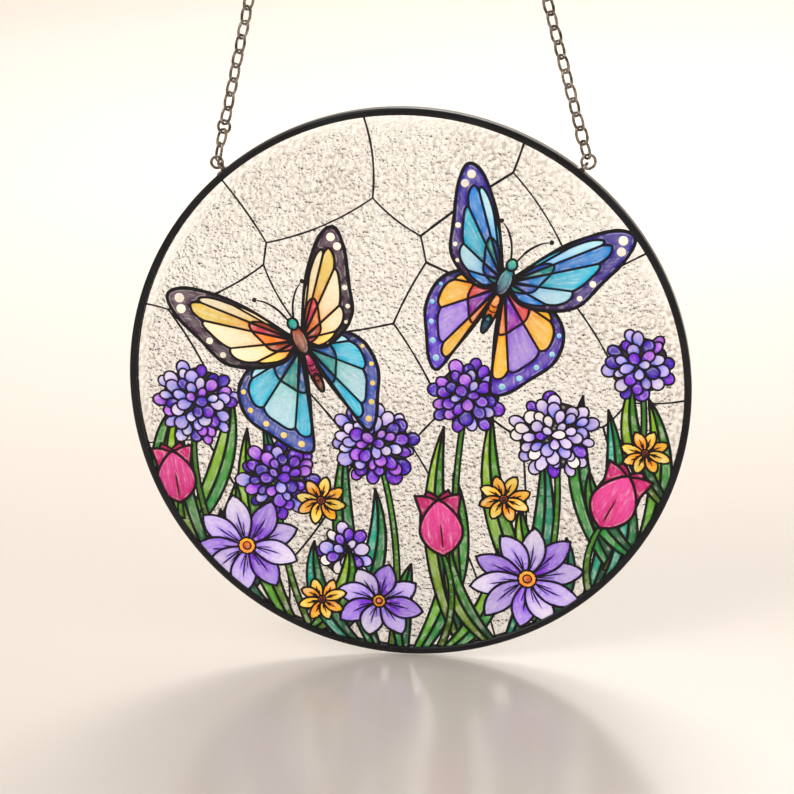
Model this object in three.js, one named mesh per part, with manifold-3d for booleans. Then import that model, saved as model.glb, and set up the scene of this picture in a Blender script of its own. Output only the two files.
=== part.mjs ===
// A round suncatcher: one glass pane held in a black metal rim, hung by two legs of chain from a ring.
// Millimetres, +Z up. The pane's printed front faces -Y. The origin is where a hook carries the ring.
import * as THREE from "three";
import { mergeVertices } from "three/addons/utils/BufferGeometryUtils.js";
import Module from "manifold-3d";

const wasm = await Module();
wasm.setup();

// ---- Driving dimensions ----
const RIM_RADIUS = 100; // outside of the rim
const RIM_FACE = 2.6; // how far the rim's lips cover the pane, seen from the front
const RIM_DEPTH = 5;
const RIM_WEB = 1.1; // wall round the pane's edge
const RIM_ROUNDING = 0.7; // outer corners
const LIP_ROUNDING = 0.35; // corners beside the glass
const PANE_THICKNESS = 3;
const PANE_PLAY = 0.2; // each side of the pane, in the rim's channel
const PANE_EDGE_PLAY = 0.3;
const ROUND_STEPS = 72; // facets round the rim and the pane

const EYE_ANGLE = THREE.MathUtils.degToRad(39); // each hanging eye, from the top of the rim
const EYE_WIRE = 1;
const EYE_HOLE = 2.4;
const EYE_BITE = 0.9; // how deep the eye is soldered into the rim
const EYE_TAIL = 3.6; // the left eye's wire ends in a tail this long

const CHAIN_WIRE = 1;
const LINK_WIDTH = 5; // outside
const LINK_PLAY = 0.2; // between two pieces that hang in each other
const LINK_BITE = 0.05; // where joined links run into each other
const SEPARATE_LINKS = 26; // in each leg, from the pane up
const JOINED_LINKS = 26; // in each leg, above those
const LEG_LENGTH = 269; // from the eye's wire to the middle of the hanging ring
const JOINING_PLACE = 2; // a joining ring takes the place of the link above this many
const LINK_TWIST = 36; // of every other link, in degrees from facing front
const TOP_TWIST_LINKS = 5; // over these the leg turns to meet the hanging ring squarely

const HANGING_RING_HOLE = 11.4;
const HANGING_RING_WIRE = 1.8;

// Turns are degrees about the leg, from facing front; above those listed, every link turns 90 from the last.
const LEGS = [
  { name: "left", side: -1, jumpRingHole: 2.8, joiningRingHole: 3.2, turns: [5, -55, -120, -190] },
  { name: "right", side: 1, jumpRingHole: 3.6, joiningRingHole: null, turns: [15, -45, 35] },
];

// ---- Materials ----
const clearGlass = new THREE.MeshStandardMaterial({
  color: 0xe6e0d4, roughness: 0.1, metalness: 0, transparent: true, opacity: 0.4,
});
const blackMetal = new THREE.MeshStandardMaterial({ color: 0x131218, roughness: 0.35, metalness: 0.6 });
const agedNickel = new THREE.MeshStandardMaterial({ color: 0x8a7d6c, roughness: 0.35, metalness: 1 });

// ---- Shapes ----

// A ring of wire in the XZ plane, its hole along Y. The wire's section is a polygon with as much metal
// as a round, with a facet or a ridge towards the hole; the hole's size is the one across the steps.
function ringGeometry(hole, wire, { sides = 6, steps = 10, ridge = false, start = Math.PI / steps } = {}) {
  const corner = (wire / 2) * Math.sqrt((2 * Math.PI) / (sides * Math.sin((2 * Math.PI) / sides)));
  const middle = hole / 2 + (ridge ? corner : corner * Math.cos(Math.PI / sides));
  const section = [];
  for (let i = 0; i <= sides; i++) {
    const turn = ((i + (ridge ? 0 : 0.5)) / sides) * 2 * Math.PI;
    const radius = (middle + corner * Math.cos(turn)) / Math.cos(Math.PI / steps);
    section.push(new THREE.Vector2(radius, corner * Math.sin(turn)));
  }
  return new THREE.LatheGeometry(section, steps, start);
}

// A chain link: a ring pulled apart along Z, so that its long sides are straight. With 8 steps its ends
// are flat, and with 6 they are pointed, which saves triangles.
function linkGeometry(holeLength, steps) {
  const acrossRidges = CHAIN_WIRE * Math.sqrt(Math.PI / 2);
  const holeWidth = LINK_WIDTH - 2 * acrossRidges;
  const pointed = steps === 6;
  const start = pointed ? 0 : Math.PI / steps;
  const geometry = ringGeometry(holeWidth, CHAIN_WIRE, { sides: 4, steps, ridge: true, start });
  const position = geometry.getAttribute("position");
  const stretch = (holeLength - (pointed ? holeWidth / Math.cos(Math.PI / steps) : holeWidth)) / 2;
  for (let i = 0; i < position.count; i++) {
    const z = position.getZ(i);
    position.setZ(i, z + Math.sign(z) * stretch);
  }
  return geometry;
}

// The rim's section is a channel that opens inwards: a web with a lip on each side of the glass.
function rimGeometry() {
  const inner = RIM_RADIUS - RIM_FACE;
  const web = RIM_RADIUS - RIM_WEB;
  const half = RIM_DEPTH / 2;
  const channel = PANE_THICKNESS / 2 + PANE_PLAY;
  const corners = [
    [inner, -channel],
    [inner, LIP_ROUNDING - half],
    [inner + LIP_ROUNDING, -half],
    [RIM_RADIUS - RIM_ROUNDING, -half],
    [RIM_RADIUS, RIM_ROUNDING - half],
    [RIM_RADIUS, half - RIM_ROUNDING],
    [RIM_RADIUS - RIM_ROUNDING, half],
    [inner + LIP_ROUNDING, half],
    [inner, half - LIP_ROUNDING],
    [inner, channel],
    [web, channel],
    [web, -channel],
    [inner, -channel],
  ];
  return new THREE.LatheGeometry(corners.map(([r, y]) => new THREE.Vector2(r, y)), ROUND_STEPS);
}

// ---- Joining with manifold-3d ----

function solidFrom(geometry, matrix) {
  const moved = geometry.clone();
  if (matrix) moved.applyMatrix4(matrix);
  moved.deleteAttribute("normal");
  moved.deleteAttribute("uv");
  const merged = mergeVertices(moved, 1e-4);
  return new wasm.Manifold(new wasm.Mesh({
    numProp: 3,
    vertProperties: merged.getAttribute("position").array,
    triVerts: new Uint32Array(merged.index.array),
  }));
}

function geometryFrom(solid) {
  const mesh = solid.getMesh();
  const geometry = new THREE.BufferGeometry();
  geometry.setAttribute("position", new THREE.BufferAttribute(new Float32Array(mesh.vertProperties), 3));
  geometry.setIndex(new THREE.BufferAttribute(new Uint32Array(mesh.triVerts), 1));
  geometry.computeVertexNormals();
  return geometry;
}

// ---- Where things hang ----

const eyeCentre = RIM_RADIUS - EYE_BITE + EYE_WIRE + EYE_HOLE / 2; // from the pane's centre
const pullRadius = eyeCentre + (EYE_HOLE + EYE_WIRE) / 2; // the wire that the jump ring pulls on
const pull = new THREE.Vector3(Math.sin(EYE_ANGLE), 0, Math.cos(EYE_ANGLE)).multiplyScalar(pullRadius);
const ringCentre = new THREE.Vector3(0, 0, -HANGING_RING_HOLE / 2);
const paneDrop = Math.sqrt(LEG_LENGTH ** 2 - pull.x ** 2) + pull.z;
const paneCentre = ringCentre.clone().sub(new THREE.Vector3(0, 0, paneDrop));

// ---- The piece ----

const suncatcher = new THREE.Group();

function add(parent, name, geometry, material) {
  const mesh = new THREE.Mesh(geometry, material);
  mesh.name = name;
  parent.add(mesh);
  return mesh;
}

// An eye stands across the rim, its hole along the rim's edge.
function eyeSolid(side) {
  const eye = new THREE.Object3D();
  eye.position.set(side * Math.sin(EYE_ANGLE) * eyeCentre, 0, Math.cos(EYE_ANGLE) * eyeCentre);
  eye.rotation.set(0, side * EYE_ANGLE, Math.PI / 2, "YXZ");
  eye.updateMatrix();
  return solidFrom(ringGeometry(EYE_HOLE, EYE_WIRE, { steps: 8 }), eye.matrix);
}

// The tail leaves the left eye's foot at the back, a little off the rim's edge.
function eyeTailSolid() {
  const tail = new THREE.Object3D();
  tail.position.set(-Math.sin(EYE_ANGLE) * RIM_RADIUS, 0.9, Math.cos(EYE_ANGLE) * RIM_RADIUS);
  tail.rotation.set(0, -EYE_ANGLE, THREE.MathUtils.degToRad(82), "YXZ");
  tail.updateMatrix();
  const wire = new THREE.CylinderGeometry(EYE_WIRE / 2, EYE_WIRE / 2, EYE_TAIL, 6);
  wire.translate(0, EYE_TAIL / 2, 0);
  return solidFrom(wire, tail.matrix);
}

function addPanel() {
  const panel = new THREE.Group();
  panel.position.copy(paneCentre);
  suncatcher.add(panel);

  const radius = RIM_RADIUS - RIM_WEB - PANE_EDGE_PLAY;
  const pane = new THREE.CylinderGeometry(radius, radius, PANE_THICKNESS, ROUND_STEPS);
  add(panel, "glass_pane", pane, clearGlass);

  let rim = solidFrom(rimGeometry());
  for (const leg of LEGS) rim = rim.add(eyeSolid(leg.side));
  rim = rim.add(eyeTailSolid());
  add(panel, "rim", geometryFrom(rim), blackMetal);
}

function addLeg({ name, side, jumpRingHole, joiningRingHole, turns }) {
  const start = pull.clone().setX(side * pull.x).add(paneCentre);
  const along = ringCentre.clone().sub(start).normalize();
  const leg = new THREE.Group();
  leg.position.copy(start);
  leg.quaternion.setFromUnitVectors(new THREE.Vector3(0, 0, 1), along);
  suncatcher.add(leg);

  const links = SEPARATE_LINKS + JOINED_LINKS;
  const place = (object, piece, distance) => {
    const twist = Math.min((links - piece) / TOP_TWIST_LINKS, 1) * LINK_TWIST;
    const turn = piece < turns.length ? turns[piece] : links % 2 * 90 + piece * 90 + 90 - twist;
    object.position.set(0, 0, distance);
    object.rotation.set(0, 0, THREE.MathUtils.degToRad(turn));
    return object;
  };

  const jumpRing = add(leg, `${name}_jump_ring`, ringGeometry(jumpRingHole, CHAIN_WIRE), agedNickel);
  const jumpRingFoot = -EYE_WIRE / 2 - LINK_PLAY;
  place(jumpRing, 0, jumpRingFoot + jumpRingHole / 2);

  // The links share what the rings leave of the leg.
  let reach = jumpRingFoot + jumpRingHole - LINK_PLAY / 2; // where the next piece hangs
  const joiningPitch = joiningRingHole ? joiningRingHole - LINK_PLAY : 0;
  const end = LEG_LENGTH - HANGING_RING_HOLE / 2 + 1.5 * LINK_PLAY; // the ring is thicker than a link
  const pitch = (end - reach - joiningPitch) / (joiningRingHole ? links - 1 : links);
  const link = linkGeometry(pitch + LINK_PLAY, 8);
  for (let i = 0; i < SEPARATE_LINKS; i++) {
    const isRing = joiningRingHole && i === JOINING_PLACE;
    const step = isRing ? joiningPitch : pitch;
    const piece = isRing
      ? add(leg, `${name}_joining_ring`, ringGeometry(joiningRingHole, CHAIN_WIRE), agedNickel)
      : add(leg, `${name}_link_${String(i + 1).padStart(2, "0")}`, link, agedNickel);
    place(piece, i + 1, reach + step / 2);
    reach += step;
  }

  const joinedPitch = pitch + (LINK_PLAY + LINK_BITE) / JOINED_LINKS;
  const joined = linkGeometry(joinedPitch - LINK_BITE, 6);
  const first = reach + (joinedPitch - LINK_BITE - LINK_PLAY) / 2;
  const spot = new THREE.Object3D();
  let run = null;
  for (let i = 0; i < JOINED_LINKS; i++) {
    place(spot, SEPARATE_LINKS + 1 + i, first + i * joinedPitch).updateMatrix();
    const solid = solidFrom(joined, spot.matrix);
    run = run ? run.add(solid) : solid;
  }
  add(leg, `${name}_upper_chain`, geometryFrom(run), agedNickel);
}

function addHangingRing() {
  const geometry = ringGeometry(HANGING_RING_HOLE, HANGING_RING_WIRE, { steps: 16 });
  add(suncatcher, "hanging_ring", geometry, agedNickel).position.copy(ringCentre);
}

addPanel();
LEGS.forEach(addLeg);
addHangingRing();

export default suncatcher;
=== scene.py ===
"""A round suncatcher: hammered glass with a picture in coloured inks, a black rim and two legs of chain."""

import math
import random

import bpy
from bpy.props import FloatProperty, FloatVectorProperty, IntProperty, PointerProperty
from bpy.types import Operator, Panel, PropertyGroup
from mathutils import Matrix, Vector, kdtree, noise
from mathutils.bvhtree import BVHTree
from mathutils.geometry import convex_hull_2d, delaunay_2d_cdt


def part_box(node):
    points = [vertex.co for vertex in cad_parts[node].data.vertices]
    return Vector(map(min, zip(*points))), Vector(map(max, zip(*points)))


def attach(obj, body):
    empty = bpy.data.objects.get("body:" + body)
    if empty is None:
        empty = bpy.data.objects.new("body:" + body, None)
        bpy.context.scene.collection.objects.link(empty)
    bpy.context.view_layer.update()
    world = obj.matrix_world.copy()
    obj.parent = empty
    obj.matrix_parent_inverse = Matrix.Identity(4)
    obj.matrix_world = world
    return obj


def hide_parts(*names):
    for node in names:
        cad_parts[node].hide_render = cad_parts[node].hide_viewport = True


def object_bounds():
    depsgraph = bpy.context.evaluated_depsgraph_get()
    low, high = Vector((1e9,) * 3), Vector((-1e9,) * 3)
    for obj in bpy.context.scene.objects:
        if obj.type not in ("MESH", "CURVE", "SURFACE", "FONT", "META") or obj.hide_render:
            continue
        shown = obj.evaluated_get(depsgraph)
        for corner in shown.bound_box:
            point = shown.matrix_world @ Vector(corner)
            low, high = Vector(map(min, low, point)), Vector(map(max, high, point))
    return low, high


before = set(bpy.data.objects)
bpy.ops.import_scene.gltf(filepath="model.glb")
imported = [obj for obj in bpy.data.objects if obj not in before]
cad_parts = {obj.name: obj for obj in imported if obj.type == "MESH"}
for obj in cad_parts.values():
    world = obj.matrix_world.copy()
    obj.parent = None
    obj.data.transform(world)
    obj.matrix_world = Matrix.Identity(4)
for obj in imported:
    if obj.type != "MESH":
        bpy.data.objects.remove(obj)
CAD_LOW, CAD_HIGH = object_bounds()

bl_info = {
    "name": "Round Suncatcher",
    "version": (1, 0, 0),
    "blender": (4, 5, 0),
    "location": "View3D > Sidebar > Suncatcher",
    "description": "Hammered glass pane with a picture in coloured inks, black rim, rings and chain",
    "category": "Object",
}

BODY = "root"
MM = 0.001


def middle(node):
    low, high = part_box(node)
    return (low + high) / 2


# ---- Places and sizes that the frame gives, in metres ----

PANE_LOW, PANE_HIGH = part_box("glass_pane")
PANE_CENTRE = (PANE_LOW + PANE_HIGH) / 2
PANE_RADIUS = (PANE_HIGH.z - PANE_LOW.z) / 2
PANE_FRONT = PANE_LOW.y
PANE_BACK = PANE_HIGH.y
RIM_LOW, RIM_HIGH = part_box("rim")
RIM_RADIUS = PANE_CENTRE.z - RIM_LOW.z
RING_CENTRE = middle("hanging_ring")
CHAIN_LINKS = 52  # in each leg
LOOSE_LINKS = 26  # of those, the ones with a node of their own
CROWN = 0.0011  # height of the rim's rounded face over its edges
LINK_TWIST = 36  # of every other link, in degrees from facing front
FLOOR_GAP = 0.0012  # the pane hangs this far above the floor
TWIST_LINKS = 5  # over these each leg turns to meet the hanging ring squarely
SMOOTH_EDGE = 0.006  # beside the rim the hammering grows shallow


# ---- Settings ----


def colour_setting(name, description, default):
    return FloatVectorProperty(
        name=name, description=description, subtype="COLOR", size=4, min=0, max=1, default=default
    )


def length_setting(name, description, default):
    return FloatProperty(name=name, description=description, default=default, unit="LENGTH", precision=5)


def angle_setting(name, description, degrees):
    return FloatProperty(
        name=name, description=description, default=math.radians(degrees), subtype="ANGLE", unit="ROTATION"
    )


class StageSettings(PropertyGroup):
    distance: length_setting("Camera distance", "From the pane's middle", 0.85)
    azimuth: angle_setting("Camera azimuth", "Round the pane, from straight in front", 8.744)
    elevation: angle_setting("Camera elevation", "Above the pane's middle", 15.977)
    pan: angle_setting("Pan", "Turn of the camera to the left", 0.239)
    tilt: angle_setting("Tilt", "Turn of the camera downwards", 0.205)
    roll: angle_setting("Roll", "Lean of the camera, clockwise", 1.539)
    lens: FloatProperty(name="Lens", description="Focal length in millimetres", default=109.1)
    floor_radius: length_setting("Floor radius", "Where the floor starts to curve up", 2.6)
    floor_colour: colour_setting("Floor colour", "Pale warm paint", (0.78, 0.72, 0.66, 1))


class GlassSettings(PropertyGroup):
    seed: IntProperty(name="Seed", description="Start of the random draws of the dimples", default=3, min=1)
    dimple: length_setting("Dimple", "Width of one dimple of the hammered face", 0.0014)
    relief: length_setting("Relief", "Depth of the dimples modelled on the back", 0.00014)
    tint: colour_setting("Tint", "Colour of the glass", (1.0, 0.995, 0.985, 1))
    # Painted shade: the colour the clear glass darkens to between the dimples, in place of the light and dark
    # that the bent glass shows.
    shade: colour_setting("Shade", "Colour of the glass between dimples", (0.46, 0.42, 0.37, 1))


class PictureSettings(PropertyGroup):
    seed: IntProperty(name="Seed", description="Start of the random draws of the picture", default=7)
    film: length_setting("Film", "Thickness of the coloured ink", 0.00004)
    line_film: length_setting("Line film", "Thickness of the black lines", 0.00008)
    line_colour: colour_setting("Line colour", "Colour of the black lines", (0.003, 0.003, 0.004, 1))


class RimSettings(PropertyGroup):
    face: length_setting("Face", "Width of the rim seen from the front", 0.0026)
    depth: length_setting("Depth", "Depth of the rim, front to back", 0.005)
    web: length_setting("Web", "Wall round the pane's edge", 0.0011)
    eye_hole: length_setting("Eye hole", "Hole of the hanging eyes", 0.0024)
    colour: colour_setting("Colour", "Black paint", (0.004, 0.004, 0.006, 1))


class ChainSettings(PropertyGroup):
    wire: length_setting("Wire", "Thickness of the links' wire", 0.001)
    width: length_setting("Link width", "Outside width of a link", 0.005)
    play: length_setting("Play", "Room between two links", 0.0002)
    dark: colour_setting("Tarnish", "Metal in the hollows", (0.055, 0.042, 0.034, 1))
    bright: colour_setting("Bright metal", "Worn metal", (0.42, 0.36, 0.31, 1))


# ---- Materials ----


def linear(code):
    """A colour of the form #rrggbb as linear red, green, blue and 1."""
    parts = [int(code[i:i + 2], 16) / 255 for i in (1, 3, 5)]
    return [(c / 12.92 if c <= 0.04045 else ((c + 0.055) / 1.055) ** 2.4) for c in parts] + [1.0]


class Wire:
    """A node's output, for use in Python expressions."""

    def __init__(self, finish, socket):
        self.finish = finish
        self.socket = socket

    def maths(self, operation, *values, clamp=False):
        settings = {"operation": operation, "use_clamp": clamp}
        return self.finish.node("ShaderNodeMath", settings, dict(enumerate(values)))

    def __add__(self, other):
        return self.maths("ADD", self, other)

    def __radd__(self, other):
        return self.maths("ADD", other, self)

    def __sub__(self, other):
        return self.maths("SUBTRACT", self, other)

    def __rsub__(self, other):
        return self.maths("SUBTRACT", other, self)

    def __mul__(self, other):
        return self.maths("MULTIPLY", self, other)

    def __rmul__(self, other):
        return self.maths("MULTIPLY", other, self)

    def clamped(self):
        return self.maths("ADD", self, 0.0, clamp=True)

    def ramped(self, low, high):
        """0 at low, 1 at high, smooth between."""
        inputs = {"Value": self, "From Min": low, "From Max": high}
        return self.finish.node("ShaderNodeMapRange", {"interpolation_type": "SMOOTHSTEP"}, inputs)


class Finish:
    """A material under construction: its shader and the one way to add any other node."""

    def __init__(self, name):
        self.material = bpy.data.materials.new(name)
        self.material.use_nodes = True
        self.tree = self.material.node_tree
        self.shader = next(n for n in self.tree.nodes if n.type == "BSDF_PRINCIPLED")

    def feed(self, socket, value):
        if isinstance(value, Wire):
            self.tree.links.new(value.socket, socket)
        else:
            socket.default_value = value

    def node(self, kind, settings=None, inputs=None, output=0):
        made = self.tree.nodes.new(kind)
        for name, value in (settings or {}).items():
            setattr(made, name, value)
        for key, value in (inputs or {}).items():
            self.feed(made.inputs[key], value)
        return Wire(self, made.outputs[output])

    def shade(self, values):
        for name, value in values.items():
            self.feed(self.shader.inputs[name], value)
        return self.material

    def mix(self, factor, first, second, blend="MIX"):
        settings = {"data_type": "RGBA", "blend_type": blend}
        return self.node("ShaderNodeMix", settings, {0: factor, 6: first, 7: second}, 2)

    def vector(self, operation, first, second):
        key = 3 if operation == "SCALE" else 1
        return self.node("ShaderNodeVectorMath", {"operation": operation}, {0: first, key: second})

    def place(self):
        return self.node("ShaderNodeTexCoord", output="Object")

    def noise(self, vector, scale, detail=2.0, rough=0.5, output="Fac"):
        inputs = {"Vector": vector, "Scale": scale, "Detail": detail, "Roughness": rough}
        return self.node("ShaderNodeTexNoise", {}, inputs, output)

    def bump(self, height, strength, distance):
        inputs = {"Height": height, "Strength": strength, "Distance": distance}
        return self.node("ShaderNodeBump", {}, inputs)


def from_middle(finish):
    """Place from the pane's middle, and how far that is from its axis."""
    place = finish.vector("SUBTRACT", finish.place(), (PANE_CENTRE.x, PANE_CENTRE.y, PANE_CENTRE.z))
    flat = finish.vector("MULTIPLY", place, (1.0, 0.0, 1.0))
    return place, finish.node("ShaderNodeVectorMath", {"operation": "LENGTH"}, {0: flat}, "Value")


def hammered(finish, dimple):
    """Height of hammered glass from 0 to 1: shallow wandering dimples, with soft ridges between them."""
    place, _ = from_middle(finish)
    split = {axis: finish.node("ShaderNodeSeparateXYZ", {}, {0: place}, axis) for axis in "XZ"}
    flat = finish.node("ShaderNodeCombineXYZ", {}, {"X": split["X"], "Y": split["Z"] * 1.25})
    drift = finish.vector("SCALE", finish.noise(flat, 0.22 / dimple, 2, output="Color"), dimple * 2.2)
    bent = finish.vector("ADD", flat, drift)
    settings = {"feature": "SMOOTH_F1", "voronoi_dimensions": "2D"}
    inputs = {"Vector": bent, "Scale": 1 / dimple, "Smoothness": 0.7, "Randomness": 1.0}
    cells = finish.node("ShaderNodeTexVoronoi", settings, inputs, "Distance")
    return cells * 0.9 + finish.noise(bent, 2.2 / dimple, 3) * 0.35


def glass_material(settings):
    """Clear glass, a little warm: hammered on its back, nearly smooth in front and beside the rim. Its colour
    darkens between the dimples: painted shade in place of the light and dark that the bent glass shows.
    """
    finish = Finish("hammered_glass")
    height = hammered(finish, settings.dimple)
    place, reach = from_middle(finish)
    # Painted shade: in patches, the glass's colour darkens towards the shade colour between the dimples.
    painted_shade_patch = finish.noise(place, 14, 3, 0.55).ramped(0.36, 0.66)
    painted_shade_mask = height.ramped(0.34, 0.86) * (0.3 + painted_shade_patch * 0.6)
    tint = finish.mix(painted_shade_mask, list(settings.tint), list(settings.shade))
    back = finish.node("ShaderNodeSeparateXYZ", {}, {0: place}, "Y").ramped(-MM / 2, MM / 2)
    border = reach.ramped(PANE_RADIUS - SMOOTH_EDGE, PANE_RADIUS - SMOOTH_EDGE / 3)
    steady = (0.2 + back * 0.8) * (1 - border * 0.8)
    return finish.shade({
        "Base Color": tint,
        "Roughness": 0.04,
        "IOR": 1.5,
        "Transmission Weight": 1.0,
        "Normal": finish.bump(height * steady, 1.0, 0.0007),
    })


def ink_material(dimple):
    """Coloured ink: deep beside the lines, paler and streaked inside, over the glass's hammered face, with
    painted shade between the dimples and a faint painted glow for light shining through from behind.
    """
    finish = Finish("coloured_ink")
    ink = finish.node("ShaderNodeAttribute", {"attribute_name": "Ink"}, {}, "Color")
    heart = finish.node("ShaderNodeAttribute", {"attribute_name": "Heart"}, {}, "Color")
    depth = finish.node("ShaderNodeAttribute", {"attribute_name": "Depth"}, {}, "Fac")
    grain = finish.node("ShaderNodeUVMap", {"uv_map": "Grain"})
    streak = finish.noise(finish.vector("MULTIPLY", grain, (0.13, 0.9, 1.0)), 1.0, 3, 0.6)
    thread = finish.noise(finish.vector("MULTIPLY", grain, (0.35, 3.6, 1.0)), 1.0, 2, 0.5)
    cloud = finish.noise(finish.vector("MULTIPLY", grain, (0.22, 0.3, 1.0)), 1.0, 2, 0.5)
    height = hammered(finish, dimple)
    inner = depth.ramped(0.15, 2.2)
    toned = finish.mix((inner * 0.7 + cloud.ramped(0.35, 0.7) * 0.3).clamped() * 0.6, ink, heart)
    gleam = depth.ramped(0.1, 0.3) * (1 - depth.ramped(0.35, 0.75)) * cloud.ramped(0.42, 0.6)
    light = (streak * 0.6 + thread * 0.4).ramped(0.52, 0.72) * inner
    washed = finish.mix((light * 0.55 + gleam * 0.35).clamped(), toned, linear("#fffaf4"))
    dark = (1 - streak * 0.55 - thread * 0.45).ramped(0.5, 0.7)
    edge = 1 - depth.ramped(0.0, 0.7)
    deep = finish.mix(1.0, washed, ink, "MULTIPLY")
    shaded = finish.mix((dark * 0.5 + edge * 0.45).clamped(), washed, deep)
    # Painted shade: the ink darkens a little between the dimples of the hammered glass behind it.
    painted_dimple_shade = finish.mix(height.ramped(0.4, 0.95) * 0.1, shaded, linear("#181018"))
    return finish.shade({
        "Base Color": painted_dimple_shade,
        "Roughness": 0.2 + streak * 0.15,
        # Painted light: a faint glow in the ink's own colour, standing in for light shining through it from
        # behind.
        "Emission Color": painted_dimple_shade,
        "Emission Strength": 0.22,
        "Normal": finish.bump(height, 0.35, 0.0005),
    })


def line_material(settings):
    finish = Finish("black_line")
    grain = finish.noise(finish.place(), 1400, 3)
    tone = finish.mix(grain, list(settings.line_colour), (0.010, 0.009, 0.012, 1))
    return finish.shade({
        "Base Color": tone,
        "Specular IOR Level": 0.3,
        "Roughness": 0.35 + grain * 0.2,
        "Normal": finish.bump(grain, 0.4, 0.0001),
    })


def rim_material(settings):
    finish = Finish("black_rim")
    place = finish.place()
    cloud = finish.noise(place, 60, 3)
    fine = finish.noise(place, 1500, 3)
    tone = finish.mix(cloud.ramped(0.35, 0.7), list(settings.colour), (0.010, 0.010, 0.014, 1))
    return finish.shade({
        "Base Color": tone,
        "Roughness": 0.2 + cloud * 0.1 + fine * 0.08,
        "Specular IOR Level": 0.32,
        "Normal": finish.bump(fine, 0.2, 0.00006),
    })


def nickel_material(settings):
    """Antique nickel: dark tarnish and bright rubbed metal in random patches."""
    finish = Finish("aged_nickel")
    place = finish.place()
    cloud = finish.noise(place, 420, 4, 0.6)
    fine = finish.noise(place, 2600, 3, 0.6)
    worn = (cloud * 0.7 + fine * 0.3).ramped(0.36, 0.62)
    return finish.shade({
        "Base Color": finish.mix(worn, list(settings.dark), list(settings.bright)),
        "Roughness": 0.42 - worn * 0.18,
        "Metallic": 1.0,
        "Normal": finish.bump(fine, 0.35, 0.00006),
    })


# ---- Making pieces ----


def new_piece(name, points, faces, material, smooth=True):
    mesh = bpy.data.meshes.new(name)
    mesh.from_pydata(points, [], faces)
    mesh.validate()
    if smooth:
        mesh.shade_smooth()
    mesh.materials.append(material)
    made = bpy.data.objects.new(name, mesh)
    bpy.context.scene.collection.objects.link(made)
    return made


def settle(piece, slot, *nodes):
    """The piece belongs to the object and stands for the nodes, which are hidden. slot is not used."""
    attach(piece, BODY)
    if nodes:
        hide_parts(*nodes)


class Shape:
    """Points and faces of one piece, to which parts are added one by one."""

    def __init__(self):
        self.points = []
        self.faces = []

    def add(self, points, faces, matrix=None):
        start = len(self.points)
        self.points += [matrix @ p for p in points] if matrix else points
        self.faces += [[start + i for i in face] for face in faces]

    def lathe(self, profile, steps, matrix=None):
        """A closed profile of (radius, y), turned round the Y axis."""
        count = len(profile)
        points = []
        for i in range(steps):
            turn = 2 * math.pi * i / steps
            points += [Vector((r * math.sin(turn), y, r * math.cos(turn))) for r, y in profile]
        faces = []
        for i in range(steps):
            a, b = i * count, (i + 1) % steps * count
            for k in range(count):
                n = (k + 1) % count
                faces.append((a + k, a + n, b + n, b + k))
        self.add(points, faces, matrix)

    def loop(self, path, radii, sides=12, matrix=None):
        """A wire along a closed path in the XZ plane, round its hole clockwise as seen from the front."""
        count = len(path)
        points = []
        for i, point in enumerate(path):
            ahead = (path[(i + 1) % count] - path[i - 1]).normalized()
            out = ahead.cross(Vector((0, 1, 0)))
            for k in range(sides):
                turn = 2 * math.pi * k / sides
                points.append(point + radii[i] * (math.cos(turn) * out + math.sin(turn) * Vector((0, 1, 0))))
        faces = []
        for i in range(count):
            a, b = i * sides, (i + 1) % count * sides
            for k in range(sides):
                n = (k + 1) % sides
                faces.append((a + k, b + k, b + n, a + n))
        self.add(points, faces, matrix)

    def rod(self, path, radii, sides=12, matrix=None):
        """A wire along an open path, with its ends rounded off by the last radii."""
        points = []
        count = len(path)
        for i, point in enumerate(path):
            ahead = (path[min(count - 1, i + 1)] - path[max(0, i - 1)]).normalized()
            side = ahead.orthogonal().normalized()
            other = ahead.cross(side)
            for k in range(sides):
                turn = 2 * math.pi * k / sides
                points.append(point + radii[i] * (math.cos(turn) * side + math.sin(turn) * other))
        faces = [tuple(reversed(range(sides))), tuple((count - 1) * sides + k for k in range(sides))]
        for i in range(count - 1):
            a, b = i * sides, (i + 1) * sides
            for k in range(sides):
                n = (k + 1) % sides
                faces.append((a + k, a + n, b + n, b + k))
        self.add(points, faces, matrix)


def arc(centre, radius, first, last, steps):
    """Points (r, y) of an arc, angles in degrees."""
    turns = [math.radians(first + (last - first) * i / steps) for i in range(steps + 1)]
    return [(centre[0] + radius * math.cos(t), centre[1] + radius * math.sin(t)) for t in turns]


# ---- The glass pane ----


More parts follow.
